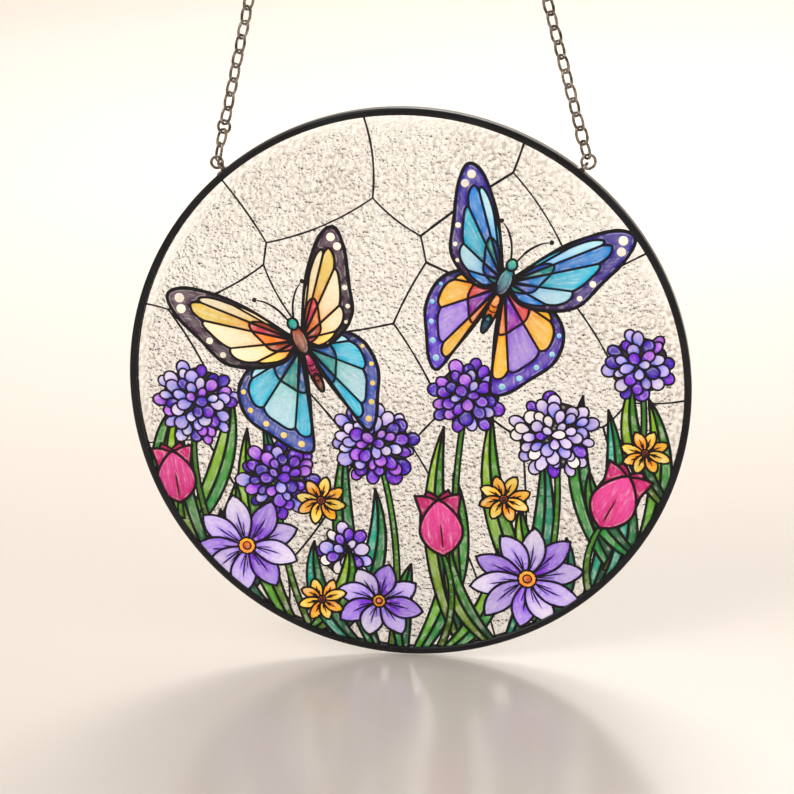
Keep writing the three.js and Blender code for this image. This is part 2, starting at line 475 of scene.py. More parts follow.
def make_glass(settings):
    """The front is flat; the back has shallow dimples on rings of points that fill the disc evenly."""
    noise.seed_set(settings.seed)
    pitch = 0.0009
    rings = round(PANE_RADIUS / pitch)
    points = [Vector((0, PANE_BACK, 0))]
    starts = [0]
    for ring in range(1, rings + 1):
        starts.append(len(points))
        for i in range(6 * ring):
            turn = math.pi * i / (3 * ring)
            r = PANE_RADIUS * ring / rings
            points.append(Vector((r * math.sin(turn), PANE_BACK, r * math.cos(turn))))
    edge = starts[rings]
    for point in points[:edge]:
        spot = Vector((point.x, 0, point.z)) / settings.dimple * 0.55
        spot += 1.2 * noise.noise_vector(spot * 0.4)
        near = noise.voronoi(spot)[0]
        fade = min(1.0, max(0.0, (PANE_RADIUS - Vector((point.x, point.z)).length) / SMOOTH_EDGE - 0.5) * 2)
        point.y -= settings.relief * fade * min(1.0, 0.7 * near[0] + 0.3 * near[1])
    faces = []
    for ring in range(1, rings + 1):
        outer, inner = starts[ring], starts[ring - 1]
        for side in range(6):
            for i in range(ring):
                a = outer + side * ring + i
                b = outer + (side * ring + i + 1) % (6 * ring)
                c = inner + (side * (ring - 1) + i) % max(1, 6 * (ring - 1))
                faces.append((a, b, c))
                if i < ring - 1:
                    d = inner + (side * (ring - 1) + i + 1) % (6 * (ring - 1))
                    faces.append((c, b, d))
    count = 6 * rings
    front = len(points)
    points += [Vector((points[edge + i].x, PANE_FRONT, points[edge + i].z)) for i in range(count)]
    faces += [(front + i, front + (i + 1) % count, edge + (i + 1) % count, edge + i) for i in range(count)]
    faces.append(tuple(front + i for i in reversed(range(count))))
    centre = Vector((PANE_CENTRE.x, 0, PANE_CENTRE.z))
    made = new_piece("hammered_glass", [p + centre for p in points], faces, glass_material(settings))
    mark_sharp(made)
    return made


def mark_sharp(piece, degrees=40):
    """Keeps corners sharp where faces meet at more than the angle."""
    piece.data.set_sharp_from_angle(angle=math.radians(degrees))


# ---- The picture: plain geometry in the pane's plane, in millimetres from its middle ----

PICTURE_RADIUS = 97.4
GROUND = 0  # the cell that stands for the clear glass

INKS = {
    "navy": "#10164a", "blue": "#1746b4", "azure": "#1f93e6", "cyan": "#22c3e6", "teal": "#078a9c",
    "turquoise": "#12b79a", "ice": "#b4e6f6",
    "plum": "#431040", "wine": "#8c0a4a", "magenta": "#c8126e", "rose": "#ee4fa2",
    "indigo": "#2a14a0", "violet": "#5410cc", "purple": "#8b22e2", "orchid": "#c97af0", "iris": "#6c7bf0",
    "lilac": "#b08cf2", "lavender": "#cfbbfa", "mist": "#eadffc",
    "rust": "#a83e10", "orange": "#f37a12", "amber": "#fba31c", "gold": "#ffc830", "lemon": "#ffe36e",
    "cream": "#fff2cc", "white": "#fdf8ef",
    "pine": "#0b5a34", "emerald": "#128f45", "leaf": "#4a9f1e", "lime": "#a2cc1e", "moss": "#5c7d10",
    "seagreen": "#0f9576", "bark": "#54311d", "ink": "#07060c",
}


def polar(origin, degrees, distance):
    turn = math.radians(degrees)
    return origin[0] + distance * math.cos(turn), origin[1] + distance * math.sin(turn)


def between(first, last, share):
    return first[0] + (last[0] - first[0]) * share, first[1] + (last[1] - first[1]) * share


def heading(first, last):
    return math.degrees(math.atan2(last[1] - first[1], last[0] - first[0]))


def bowed(start, end, bow, steps=16):
    """A line that bows to its left by bow times its length."""
    dx, dz = end[0] - start[0], end[1] - start[1]
    points = []
    for i in range(steps + 1):
        share = i / steps
        x, z = between(start, end, share)
        side = 4 * share * (1 - share) * bow
        points.append((x - dz * side, z + dx * side))
    return points


def smoothed(points, steps=6, closed=True):
    """A Catmull-Rom curve through the points."""
    curve = []
    count = len(points)
    for i in range(count if closed else count - 1):
        if closed:
            near = [points[(i + k) % count] for k in (-1, 0, 1, 2)]
        else:
            near = [points[max(0, min(count - 1, i + k))] for k in (-1, 0, 1, 2)]
        for s in range(steps):
            t = s / steps
            weights = (
                -t + 2 * t * t - t ** 3,
                2 - 5 * t * t + 3 * t ** 3,
                t + 4 * t * t - 3 * t ** 3,
                t ** 3 - t * t,
            )
            curve.append(tuple(sum(w * p[a] for w, p in zip(weights, near)) / 2 for a in (0, 1)))
    if not closed:
        curve.append(points[-1])
    return curve


def flanks(rib, halves):
    """The two sides of a shape whose middle line and half widths are given."""
    left, right = [], []
    for i, (x, z) in enumerate(rib):
        (ax, az), (bx, bz) = rib[max(0, i - 1)], rib[min(len(rib) - 1, i + 1)]
        long = math.hypot(bx - ax, bz - az) or 1
        ux, uz = (bx - ax) / long * halves[i], (bz - az) / long * halves[i]
        left.append((x - uz, z + ux))
        right.append((x + uz, z - ux))
    return left, right


def clipped(first, last, radius):
    """The part of a straight line inside a circle, or None."""
    dx, dz = last[0] - first[0], last[1] - first[1]
    a = dx * dx + dz * dz
    b = 2 * (first[0] * dx + first[1] * dz)
    c = first[0] ** 2 + first[1] ** 2 - radius * radius
    inside = b * b - 4 * a * c
    if inside <= 0:
        return None
    low = max(0, (-b - math.sqrt(inside)) / (2 * a))
    high = min(1, (-b + math.sqrt(inside)) / (2 * a))
    if low >= high:
        return None
    return between(first, last, low), between(first, last, high)


class Cell:
    """A closed outline in one ink that runs from its base colour to its tip colour."""

    def __init__(self, outline, group, inks, line, origin, angle, length):
        self.outline, self.group, self.inks, self.line = outline, group, inks, line
        self.origin, self.angle, self.length = origin, angle, length


class Stroke:
    """A black line drawn over the cells up to a certain one. ends are its end widths as shares."""

    def __init__(self, points, width, over, ends):
        self.points, self.width, self.over, self.ends = points, width, over, ends


class Picture:
    """Cells from the back to the front, and the strokes on them."""

    def __init__(self, seed):
        self.random = random.Random(seed)
        self.group = "ground"
        disc = [polar((0, 0), i * 2, PICTURE_RADIUS + 0.4) for i in range(180)]
        self.cells = [Cell(disc, self.group, None, 0, (0, 0), 0, 1)]
        self.strokes = []

    def cell(self, outline, inks, line=0.95, origin=None, angle=90.0, length=None):
        origin = origin or outline[0]
        if length is None:
            turn = math.radians(angle)
            ahead = [(x - origin[0]) * math.cos(turn) + (z - origin[1]) * math.sin(turn) for x, z in outline]
            length = max(max(ahead), 0.1)
        self.cells.append(Cell(outline, self.group, inks, line, origin, angle, length))

    def stroke(self, points, width=0.5, ends=(0.3, 0.3)):
        self.strokes.append(Stroke(points, width, len(self.cells) - 1, ends))

    def dot(self, centre, radius, inks, line):
        ring = [polar(centre, turn, radius) for turn in range(0, 360, 30)]
        self.cell(ring, inks, line, (centre[0], centre[1] - radius), 90, 2 * radius)

    # ---- Leaves and stems ----

    def blade(self, root, tip, bow, width, inks, line=0.95):
        """A long leaf: two halves along a bowed midrib."""
        steps = 22
        rib = bowed(root, tip, bow, steps)
        shares = [0.18 + 0.82 * i / steps for i in range(steps)]
        halves = [width / 2 * math.sin(math.pi * share ** 1.15) ** 0.8 for share in shares] + [0]
        for side, ink in zip(flanks(rib, halves), inks):
            self.cell(rib + side[::-1][1:], ink, line, root, heading(root, tip), math.dist(root, tip))

    def stem(self, path, width, inks, line=0.75):
        steps = len(path) - 1
        left, right = flanks(path, [width / 2 * (1 - 0.35 * i / steps) for i in range(steps + 1)])
        self.cell(left + right[::-1], inks, line, path[0], 90, math.dist(path[0], path[-1]))

    # ---- Blossoms ----

    def floret(self, base, angle, length, width, inks, line=0.68):
        """One rounded little petal."""
        rib = [polar(base, angle, share * length) for share in (0, 0.22, 0.5, 0.78, 0.97)]
        halves = [share * width / 2 for share in (0.16, 0.72, 1.0, 0.86, 0.34)]
        left, right = flanks(rib, halves)
        self.cell(smoothed(left + right[::-1], 3), inks, line, base, angle, length)

    def globe(self, foot, centre, bow, radius, palette):
        """A round flower head of many florets, the outer ones behind, on a slim stem."""
        self.stem(bowed(foot, centre, bow, 40), 2.4, ("moss", "leaf"))
        self.dot(centre, radius * 0.84, ("ink", "ink"), 0.7)
        count = round(0.2 * radius ** 2)
        for i in reversed(range(count)):
            share = math.sqrt((i + 0.5) / count)
            turn = i * GOLDEN_ANGLE + self.random.uniform(-9, 9)
            size = (4.4 + 1.5 * share) * self.random.uniform(0.82, 1.18)
            spot = polar(centre, turn, radius * 0.9 * share - size * 0.45)
            self.floret(spot, turn, size, size * self.random.uniform(0.66, 0.9), self.random.choice(palette))

    def tulip(self, foot, base, angle, height, bow, inks):
        """A closed cup of pointed petals, the front one last, on a stem."""
        self.stem(bowed(foot, base, bow, 40), 2.6, ("moss", "leaf"))
        petals = (  # lean, length and width as shares of the height, curl, inks
            (-9, 0.96, 0.5, 0.04, inks[0]),
            (9, 0.96, 0.5, -0.04, inks[0]),
            (-20, 0.94, 0.46, 0.16, inks[1]),
            (20, 0.94, 0.46, -0.16, inks[1]),
            (0, 0.82, 0.6, 0.0, inks[2]),
        )
        for lean, reach, wide, curl, ink in petals:
            rib = self.petal(base, angle + lean, height * reach, height * wide, ink, 0.95, 0.86, 0.8, curl)
            self.stroke(rib[2:9], 0.5, (0.8, 0.0))

    def petal(self, base, angle, length, width, inks, line, fullness, pointed, curl):
        steps = 14
        rib = bowed(base, polar(base, angle, length), curl, steps)
        halves = [width / 2 * math.sin(math.pi * (i / steps) ** fullness) ** pointed for i in range(steps)]
        halves[0] = max(halves[0], 0.35)
        left, right = flanks(rib, halves + [0])
        self.cell(left + right[::-1][1:], inks, line, base, angle, length)
        return rib

    def blossom(
        self, centre, radius, petals, width, inks, heart, phase, squash, tilt,
        fullness=1.1, pointed=0.75, line=0.85,
    ):
        """An open flower. squash and tilt turn it away from the viewer."""
        for i in range(petals):
            turn = math.radians(phase + 360 * i / petals)
            flat = (math.cos(turn), math.sin(turn) * squash)
            reach = math.hypot(*flat)
            angle = math.degrees(math.atan2(flat[1], flat[0])) + tilt
            length = radius * reach * self.random.uniform(0.94, 1.06)
            wide = width * (0.55 + 0.45 * squash / reach)
            foot = polar(centre, angle, radius * 0.06)
            curl = self.random.uniform(-0.07, 0.07)
            rib = self.petal(foot, angle, length, wide, inks[i % len(inks)], line, fullness, pointed, curl)
            self.stroke(rib[1:int(len(rib) * 0.72)], 0.55, (0.9, 0.0))
            side = rib[2:int(len(rib) * 0.5)]
            for k in (-1, 1):
                shares = [j / len(side) for j in range(1, len(side) + 1)]
                spread = wide * 0.15
                vein = [polar(point, angle + 90 * k, spread * share) for point, share in zip(side, shares)]
                self.stroke(vein, 0.35, (0.6, 0.0))
        self.dot(centre, radius * 0.17, heart[0], 0.7)
        self.dot(centre, radius * 0.08, heart[1], 0.45)

    # ---- Butterflies ----

    def wing(self, root, outline, inks, margin, spots, veins, inner, discal, line=1.15):
        """A wing. outline runs round it from the root and back; inks are (near, far) along each sector."""
        curve = smoothed([root] + outline, 8)
        count = len(curve)
        edge = curve[int(count * 0.13):int(count * 0.90)]
        self.cell(curve, margin, line, root, heading(root, edge[len(edge) // 2]))
        steps = len(edge) - 1
        cuts = [round(i * steps / veins) for i in range(veins + 1)]
        for k, (first, last) in enumerate(zip(cuts, cuts[1:])):
            arc_points = [between(root, point, inner) for point in edge[first:last + 1]]
            centre = arc_points[len(arc_points) // 2]
            angle, reach = heading(root, centre), math.dist(root, centre)
            bulged = []
            for j, point in enumerate(arc_points):
                swell = math.sin(math.pi * j / (len(arc_points) - 1))
                bulged.append(between(root, point, 1 - 0.07 * (1 - swell) ** 2))
            near, far = inks[k % len(inks)]
            middle_arc = [between(root, point, discal) for point in arc_points]
            self.cell(middle_arc + bulged[::-1], far, 0.8, root, angle, reach)
            self.cell([between(root, arc_points[0], 0.04)] + middle_arc, near, 0.8, root, angle, reach)
            for j in ((3 * first + last) // 4, (first + 3 * last) // 4):
                spot = between(root, edge[j], (1 + inner) / 2)
                size = math.dist(root, edge[j]) * (1 - inner) * 0.2
                if min(math.dist(spot, point) for point in curve) > 1.6 * size:
                    self.dot(spot, size, spots, 0.0)

    def butterfly(self, centre, angle, size, fore, hind, body, near, far):
        """Two pairs of wings on a body that points along angle; near and far foreshorten the two sides."""
        fore_shape = [(0.10, 0.22), (0.42, 0.66), (0.80, 0.98), (1.04, 1.02), (1.06, 0.80), (0.93, 0.46),
                      (0.80, 0.16), (0.52, 0.00), (0.22, -0.04)]
        hind_shape = [(0.26, 0.06), (0.60, 0.02), (0.80, -0.16), (0.82, -0.44), (0.66, -0.70), (0.50, -0.92),
                      (0.34, -0.98), (0.24, -0.72), (0.12, -0.38)]

        def place(x, z, side=1, squash=1):
            across = polar(centre, angle - 90, size * x * side * squash)
            return polar(across, angle, size * z)

        for side, squash in ((-1, far), (1, near)):
            shape = [place(x, z, side, squash) for x, z in hind_shape]
            self.wing(place(0.03, 0.02, side, squash), shape, *hind, veins=5, inner=0.84, discal=0.5)
            shape = [place(x, z, side, squash) for x, z in fore_shape]
            self.wing(place(0.03, 0.10, side, squash), shape, *fore, veins=6, inner=0.82, discal=0.45)
        for side in (-1, 1):
            path = [place(x, z, side) for x, z in ((0.02, 0.30), (0.08, 0.46), (0.17, 0.58), (0.26, 0.64))]
            self.stroke(smoothed(path, 6, closed=False), 0.75, (1.0, 0.6))
            self.dot(path[-1], size * 0.018, ("ink", "ink"), 0.4)
        parts = (  # place along the body, half width, half length, inks
            (-0.24, 0.050, 0.22, body[0]),
            (-0.36, 0.036, 0.10, body[1]),
            (0.10, 0.074, 0.15, body[1]),
            (0.28, 0.052, 0.06, body[2]),
        )
        for at, wide, tall, inks in parts:
            turns = [math.radians(d) for d in range(0, 360, 18)]
            ring = [place(wide * math.cos(t), at + tall * math.sin(t)) for t in turns]
            self.cell(ring, inks, 0.8, place(0, at - tall), angle, 2 * tall * size)
        for k in range(4):
            at, half = -0.16 - 0.055 * k, 0.046 - 0.004 * k
            self.stroke([place(-half, at), place(0, at - 0.014), place(half, at)], 0.45)

    # ---- The lines of the clear ground ----

    def ground(self, seeds):
        """Irregular lines between the clear pieces: the borders of the places nearest each seed."""
        for i, a in enumerate(seeds):
            for b in seeds[i + 1:]:
                line = self.border(a, b, [c for c in seeds if c not in (a, b)])
                line = line and clipped(*line, PICTURE_RADIUS + 0.3)
                if line:
                    path = bowed(*line, self.random.uniform(-0.06, 0.06), 14)
                    self.strokes.append(Stroke(path, self.random.uniform(0.6, 0.9), GROUND, (1, 1)))

    @staticmethod
    def border(a, b, others):
        """The stretch of the line halfway between a and b that is nearer to them than to any other."""
        centre = Vector(between(a, b, 0.5))
        along = (Vector(b) - Vector(a)).orthogonal().normalized()
        low, high = -250.0, 250.0
        for other in map(Vector, others):
            slope = 2 * (other - Vector(a)).dot(along)
            room = other.length_squared - Vector(a).length_squared - 2 * (other - Vector(a)).dot(centre)
            if slope > 0:
                high = min(high, room / slope)
            elif slope < 0:
                low = max(low, room / slope)
        if high - low < 1:
            return None
        return tuple(centre + along * low), tuple(centre + along * high)


DEEP = (
    ("indigo", "violet"), ("violet", "purple"), ("purple", "orchid"), ("violet", "purple"),
    ("iris", "lavender"),
)
MIXED = (
    ("violet", "purple"), ("iris", "lavender"), ("purple", "orchid"), ("iris", "mist"), ("indigo", "violet"),
    ("lavender", "mist"),
)
PALE = (
    ("iris", "lavender"), ("lavender", "mist"), ("mist", "white"), ("lilac", "mist"), ("violet", "purple"),
)
GREENS = (
    (("emerald", "leaf"), ("pine", "emerald")),
    (("leaf", "lime"), ("emerald", "leaf")),
    (("moss", "lime"), ("pine", "leaf")),
    (("seagreen", "emerald"), ("pine", "seagreen")),
    (("leaf", "lime"), ("moss", "leaf")),
    (("seagreen", "turquoise"), ("pine", "emerald")),
)
LILAC = (("lilac", "lavender"), ("purple", "lilac"), ("lilac", "mist"))
TULIP = (("wine", "magenta", "magenta"), ("wine", "magenta", "rose"), ("magenta", "rose", "rose"))
GOLD = (("amber", "gold"), ("gold", "lemon"))
GOLD_HEART = (("amber", "gold"), ("rust", "orange"))
RUST_HEART = (("rust", "orange"), ("bark", "rust"))

GOLDEN_ANGLE = 137.5  # between one floret of a flower head and the next, in degrees
# The middles of the clear pieces that the fine lines part.
GROUND_SEEDS = ((-78, 52), (-36, 80), (14, 84), (62, 66), (86, 22), (-90, 4), (-20, 42), (-62, 18), (20, 20),
                (52, 4), (-14, 2), (-44, -22), (88, -28), (24, -34), (-86, -46), (-6, -46), (58, -34),
                (36, 52))
# Each blade: angle of its root round the rim, length, lean, bow and width.
BACK_BLADES = ((206, 40, 78, 0.10, 7.5), (214, 56, 70, -0.08, 8.0), (222, 62, 98, 0.09, 8.5),
               (232, 66, 82, -0.10, 8.0), (243, 74, 100, 0.08, 8.5), (252, 60, 72, -0.12, 8.0),
               (262, 80, 96, 0.07, 8.0), (271, 70, 78, -0.10, 8.5), (281, 84, 94, 0.08, 8.0),
               (291, 72, 80, -0.07, 8.0), (300, 80, 104, 0.10, 8.5), (310, 70, 84, -0.08, 8.0),
               (318, 66, 100, 0.10, 8.0), (327, 52, 88, -0.10, 7.5), (336, 46, 104, 0.12, 7.0))
FRONT_BLADES = ((219, 30, 62, -0.14, 7.0), (237, 40, 112, 0.12, 7.5), (248, 36, 66, -0.14, 7.5),
                (258, 42, 110, 0.14, 7.5), (268, 34, 84, 0.06, 7.0), (277, 44, 64, -0.13, 7.5),
                (287, 40, 112, 0.12, 7.0), (297, 36, 72, -0.12, 7.0), (306, 42, 116, 0.14, 7.5),
                (315, 36, 80, -0.12, 7.0), (323, 34, 116, 0.12, 7.0))
# Each globe: its stem's foot, its middle, the stem's bow, its radius and inks.
GLOBES = (
    ((-62, -76), (-76, -6), 0.10, 15, MIXED),
    ((-38, -90), (-47, -34), 0.06, 14, DEEP),
    ((-8, -97), (-12, -20), -0.06, 15, MIXED),
    ((20, -95), (22, -2), 0.05, 13, DEEP),
    ((44, -86), (52, -16), -0.06, 15, PALE),
    ((70, -66), (82, 10), -0.08, 12, MIXED),
    ((-24, -94), (-24, -62), 0.05, 10, PALE),
)


def draw_picture(seed):
    """Two butterflies over round flower heads, tulips, daisies and long leaves."""
    picture = Picture(seed)
    picture.ground(GROUND_SEEDS)

    picture.group = "leaves"
    for i, (root, length, lean, bow, width) in enumerate(BACK_BLADES):
        start = polar((0, 0), root, PICTURE_RADIUS + 2)
        picture.blade(start, polar(start, lean, length), bow, width, GREENS[i % len(GREENS)])

    picture.group = "globes"
    for globe in GLOBES:
        picture.globe(*globe)

    picture.group = "leaves"
    for i, (root, length, lean, bow, width) in enumerate(FRONT_BLADES, 2):
        start = polar((0, 0), root, PICTURE_RADIUS + 2)
        picture.blade(start, polar(start, lean, length), bow, width, GREENS[i % len(GREENS)])

    picture.group = "blossoms"
    picture.tulip((64, -74), (68, -50), 62, 27, 0.1, TULIP)
    picture.tulip((-84, -50), (-84, -44), 96, 24, 0.0, TULIP)
    picture.tulip((10, -97), (12, -62), 94, 26, -0.1, TULIP)
    picture.blossom((-60, -60), 19, 9, 9.5, LILAC, GOLD_HEART, 22, 0.92, 0)
    picture.blossom((42, -70), 20, 10, 9.0, LILAC, GOLD_HEART, 10, 0.9, 0)
    picture.blossom((-12, -80), 15, 8, 8.5, LILAC, GOLD_HEART, 30, 0.9, 0)
    daisies = (((-32, -42), 9.0, 20), ((-33, -80), 8.5, 50), ((34, -40), 9.0, 5), ((84, -22), 8.5, 12))
    for centre, size, phase in daisies:
        picture.blossom(centre, size, 8, size * 0.5, GOLD, RUST_HEART, phase, 0.92, 12, 1.1, 0.6, 0.75)

    picture.group = "butterflies"
    blues = ((("blue", "cyan"), ("teal", "cyan")), (("indigo", "azure"), ("azure", "ice")),
             (("teal", "turquoise"), ("blue", "azure")))
    embers = ((("orange", "amber"), ("amber", "gold")), (("magenta", "orange"), ("orange", "gold")),
              (("violet", "magenta"), ("purple", "lilac")))
    picture.butterfly(
        (34, 36), 66, 36,
        fore=(blues, ("plum", "indigo"), ("cream", "white")),
        hind=(embers, ("navy", "violet"), ("cyan", "ice")),
        body=(("rust", "amber"), ("navy", "teal"), ("teal", "turquoise")), near=0.92, far=0.74)
    flames = ((("orange", "amber"), ("amber", "cream")), (("rust", "orange"), ("gold", "cream")),
              (("magenta", "orange"), ("orange", "lemon")))
    waters = ((("teal", "turquoise"), ("turquoise", "ice")), (("blue", "teal"), ("teal", "cyan")))
    picture.butterfly(
        (-36, 14), 112, 36,
        fore=(flames, ("ink", "plum"), ("cream", "white")),
        hind=(waters, ("navy", "blue"), ("gold", "lemon")),
        body=(("wine", "magenta"), ("bark", "rust"), ("teal", "turquoise")), near=0.74, far=1.0)
    return picture


# ---- From the picture to sheets of ink ----

CUT_TOLERANCE = 0.0001


def loop_area(points):
    return sum(a[0] * b[1] - b[0] * a[1] for a, b in zip(points, points[1:] + points[:1])) / 2


class Plan:
    """Which cell shows where, found by cutting all outlines into triangles."""

    def __init__(self, cells):
        points, loops = [], []
        for cell in cells:
            outline = [p for i, p in enumerate(cell.outline) if math.dist(p, cell.outline[i - 1]) > 0.001]
            if loop_area(outline) < 0:
                outline.reverse()
            loops.append(list(range(len(points), len(points) + len(outline))))
            points += [Vector(p) for p in outline]
        found = delaunay_2d_cdt(points, [], loops, 0, CUT_TOLERANCE, True)
        self.points, _, self.triangles, _, _, owners = found
        self.top = [max(over) if GROUND in over else None for over in owners]
        self.tree = BVHTree.FromPolygons([p.to_3d() for p in self.points], self.triangles)

    def cell_at(self, point):
        found = self.tree.find_nearest(Vector((point[0], point[1], 0)))
        return self.top[found[2]]

    def borders(self):
        """The edges between two cells, as {edge: the upper cell}."""
        sides = {}
        for triangle, top in zip(self.triangles, self.top):
            for a, b in zip(triangle, triangle[1:] + triangle[:1]):
                sides.setdefault((min(a, b), max(a, b)), []).append(top)
        found = {}
        for edge, tops in sides.items():
            if len(tops) == 2 and None not in tops and tops[0] != tops[1]:
                found[edge] = max(tops)
        return found

    def chains(self, borders, cells):
        """The borders joined into lines that stop at junctions and sharp corners, with each line's width."""
        around = {}
        for (a, b), owner in borders.items():
            if cells[owner].line:
                around.setdefault(a, []).append(b)
                around.setdefault(b, []).append(a)

        def width(a, b):
            return cells[borders[min(a, b), max(a, b)]].line

        def runs_on(a, b, c):
            """Whether the line a-b goes on to c."""
            if width(a, b) != width(b, c):
                return False
            before, after = self.points[b] - self.points[a], self.points[c] - self.points[b]
            return before.normalized().dot(after.normalized()) > 0.6

        unused = {edge for edge, owner in borders.items() if cells[owner].line}
        lines = []
        for start in sorted(unused):
            if start not in unused:
                continue
            unused.discard(start)
            path = list(start)
            for grow in (1, -1):
                path = path[::grow]
                while len(around[path[-1]]) == 2:
                    ahead = next((n for n in around[path[-1]] if n != path[-2]), None)
                    edge = (min(path[-1], ahead), max(path[-1], ahead)) if ahead is not None else None
                    if edge not in unused or not runs_on(path[-2], path[-1], ahead):
                        break
                    unused.discard(edge)
                    path.append(ahead)
                path = path[::grow]
            lines.append(([self.points[i] for i in path], width(path[0], path[1])))
        return lines


class LineWork:
    """Black lines: their outlines as edges for one common cut, and small faces that say what is black."""

    def __init__(self):
        self.points, self.edges = [], []
        self.corners, self.faces = [], []
        self.samples = []

    def outline(self, path, closed=False):
        start = len(self.points)
        self.points += path
        self.edges += [(start + i, start + i + 1) for i in range(len(path) - 1)]
        if closed:
            self.edges.append((start + len(path) - 1, start))

    def face(self, corners):
        start = len(self.corners)
        self.corners += [point.to_3d() for point in corners]
        self.faces.append([start + i for i in range(len(corners))])

    def cap(self, centre, radius):
        turns = [math.pi * (i + 0.5) / 4 for i in range(8)]
        ring = [centre + radius * Vector((math.cos(t), math.sin(t))) for t in turns]
        self.face(ring)
        self.outline(ring, closed=True)

    def line(self, path, width, ends=(1, 1), caps=True):
        """A line along the path whose width wanders a little."""
        kept = path[:1]
        for point in path[1:]:
            if (point - kept[-1]).length > 0.15:
                kept.append(point)
        if len(kept) < 2:
            kept.append(path[-1])
        sides, steps = [], len(kept) - 1
        for i, point in enumerate(kept):
            ahead = (kept[min(steps, i + 1)] - kept[max(0, i - 1)]).normalized()
            share = min(1, 4 * i / steps) * (1 - ends[0]) + ends[0]
            share = min(share, min(1, 4 * (steps - i) / steps) * (1 - ends[1]) + ends[1])
            wander = 1 + 0.22 * noise.noise(Vector((point.x * 0.35, point.y * 0.35, 7.5)))
            half = max(0.04, width / 2 * share * wander)
            across = Vector((-ahead.y, ahead.x)) * half
            sides.append((point + across, point - across))
            self.samples.append((point, half))
            if caps and i in (0, steps):
                self.cap(point, half * 1.25)
        self.outline([left for left, _ in sides])
        self.outline([right for _, right in sides])
        if not caps:
            self.outline(sides[0])
            self.outline(sides[-1])
        for (a, b), (d, c), first, last in zip(sides, sides[1:], kept, kept[1:]):
            corners = [a, b, c, d]
            self.face([corners[i] for i in convex_hull_2d(corners)])
            between_points = int((last - first).length / 0.5)
            for k in range(1, between_points + 1):
                self.samples.append((first.lerp(last, k / (between_points + 1)), (a - b).length / 2))

    def finish(self):
        """Makes the search trees, once every line is in."""
        self.tree = BVHTree.FromPolygons(self.corners, self.faces)
        self.near = kdtree.KDTree(len(self.samples))
        for i, (point, _) in enumerate(self.samples):
            self.near.insert(point.to_3d(), i)
        self.near.balance()

    def covers(self, point):
        return self.tree.ray_cast(Vector((point.x, point.y, 1)), Vector((0, 0, -1)))[0] is not None

    def clearance(self, point):
        """Distance from a point to the nearest black, in millimetres, or 0 on it."""
        _, i, distance = self.near.find(point.to_3d())
        return max(0.0, distance - self.samples[i][1])


def add_strokes(work, plan, strokes):
    """Each stroke shows only where no later cell covers it."""
    for stroke in strokes:
        fine = []
        for a, b in zip(stroke.points, stroke.points[1:]):
            count = max(1, round(math.dist(a, b) / 0.5))
            fine += [Vector(between(a, b, k / count)) for k in range(count)]
        fine.append(Vector(stroke.points[-1]))
        run = []
        for point in fine + [None]:
            top = None if point is None else plan.cell_at(point)
            if top is not None and top <= stroke.over:
                run.append(point)
                continue
            if len(run) > 2:
                ends = stroke.ends if len(run) == len(fine) else (1, stroke.ends[1])
                work.line(run, stroke.width, ends, caps=stroke.ends == (1, 1))
            run = []


def make_picture(settings, dimple):
    """The picture's sheets: one of black lines and one of ink for each kind of motif."""
    picture = draw_picture(settings.seed)
    plan = Plan(picture.cells)
    borders = plan.borders()
    work = LineWork()
    for path, width in plan.chains(borders, picture.cells):
        work.line(path, width)
    add_strokes(work, plan, picture.strokes)

    work.finish()

    points, edges = list(work.points), list(work.edges)
    for edge, owner in borders.items():
        if not picture.cells[owner].line:
            edges.append((len(points), len(points) + 1))
            points += [plan.points[i] for i in edge]
    rim = len(points)
    points += [Vector(p) for p in picture.cells[GROUND].outline]
    count = len(points) - rim
    edges += [(rim + i, rim + (i + 1) % count) for i in range(count)]

    pitch = 1.3
    rows = int(PICTURE_RADIUS / pitch / 0.866)
    for row in range(-rows, rows + 1):
        for column in range(-rows, rows + 1):
            point = Vector(((column + row % 2 / 2) * pitch, row * pitch * 0.866))
            inside = point.length < PICTURE_RADIUS - 0.5
            if inside and work.clearance(point) > 0.35 and plan.cell_at(point) != GROUND:
                points.append(point)

    cut_points, _, triangles, _, _, _ = delaunay_2d_cdt(points, edges, [], 0, CUT_TOLERANCE, True)
    sheets = {"lines": []}
    for triangle in triangles:
        centre = sum((cut_points[i] for i in triangle), Vector((0, 0))) / 3
        if centre.length > PICTURE_RADIUS + 0.4:
            continue
        if work.covers(centre):
            sheets["lines"].append((triangle, None))
            continue
        top = plan.cell_at(centre)
        if top:
            sheets.setdefault(picture.cells[top].group, []).append((triangle, top))

    depths = [work.clearance(point) for point in cut_points]
    ink, black = ink_material(dimple), line_material(settings)
    made = []
    for group, members in sheets.items():
        if group == "lines":
            piece, _ = new_sheet("picture_lines", cut_points, members, settings.line_film, black)
        else:
            piece, used = new_sheet("picture_" + group, cut_points, members, settings.film, ink)
            colour_sheet(piece, members, picture.cells, cut_points, [depths[i] for i in used])
        made.append(piece)
    return made


def new_sheet(name, cut_points, members, thickness, material):
    """A flat film on the front of the glass, and which of the cut's points it uses."""
    gap = 0.00002
    used = sorted({i for triangle, _ in members for i in triangle})
    local = {i: k for k, i in enumerate(used)}
    front = PANE_FRONT - gap - thickness
    points = []
    for x, z in (cut_points[i] for i in used):
        points.append(Vector((PANE_CENTRE.x + x * MM, front, PANE_CENTRE.z + z * MM)))
    faces = [[local[i] for i in triangle] for triangle, _ in members]
    piece = new_piece(name, points, faces, material, smooth=False)
    solidify = piece.modifiers.new("film", "SOLIDIFY")
    solidify.thickness = thickness
    solidify.offset = -1
    solidify.use_even_offset = False
    return piece, used


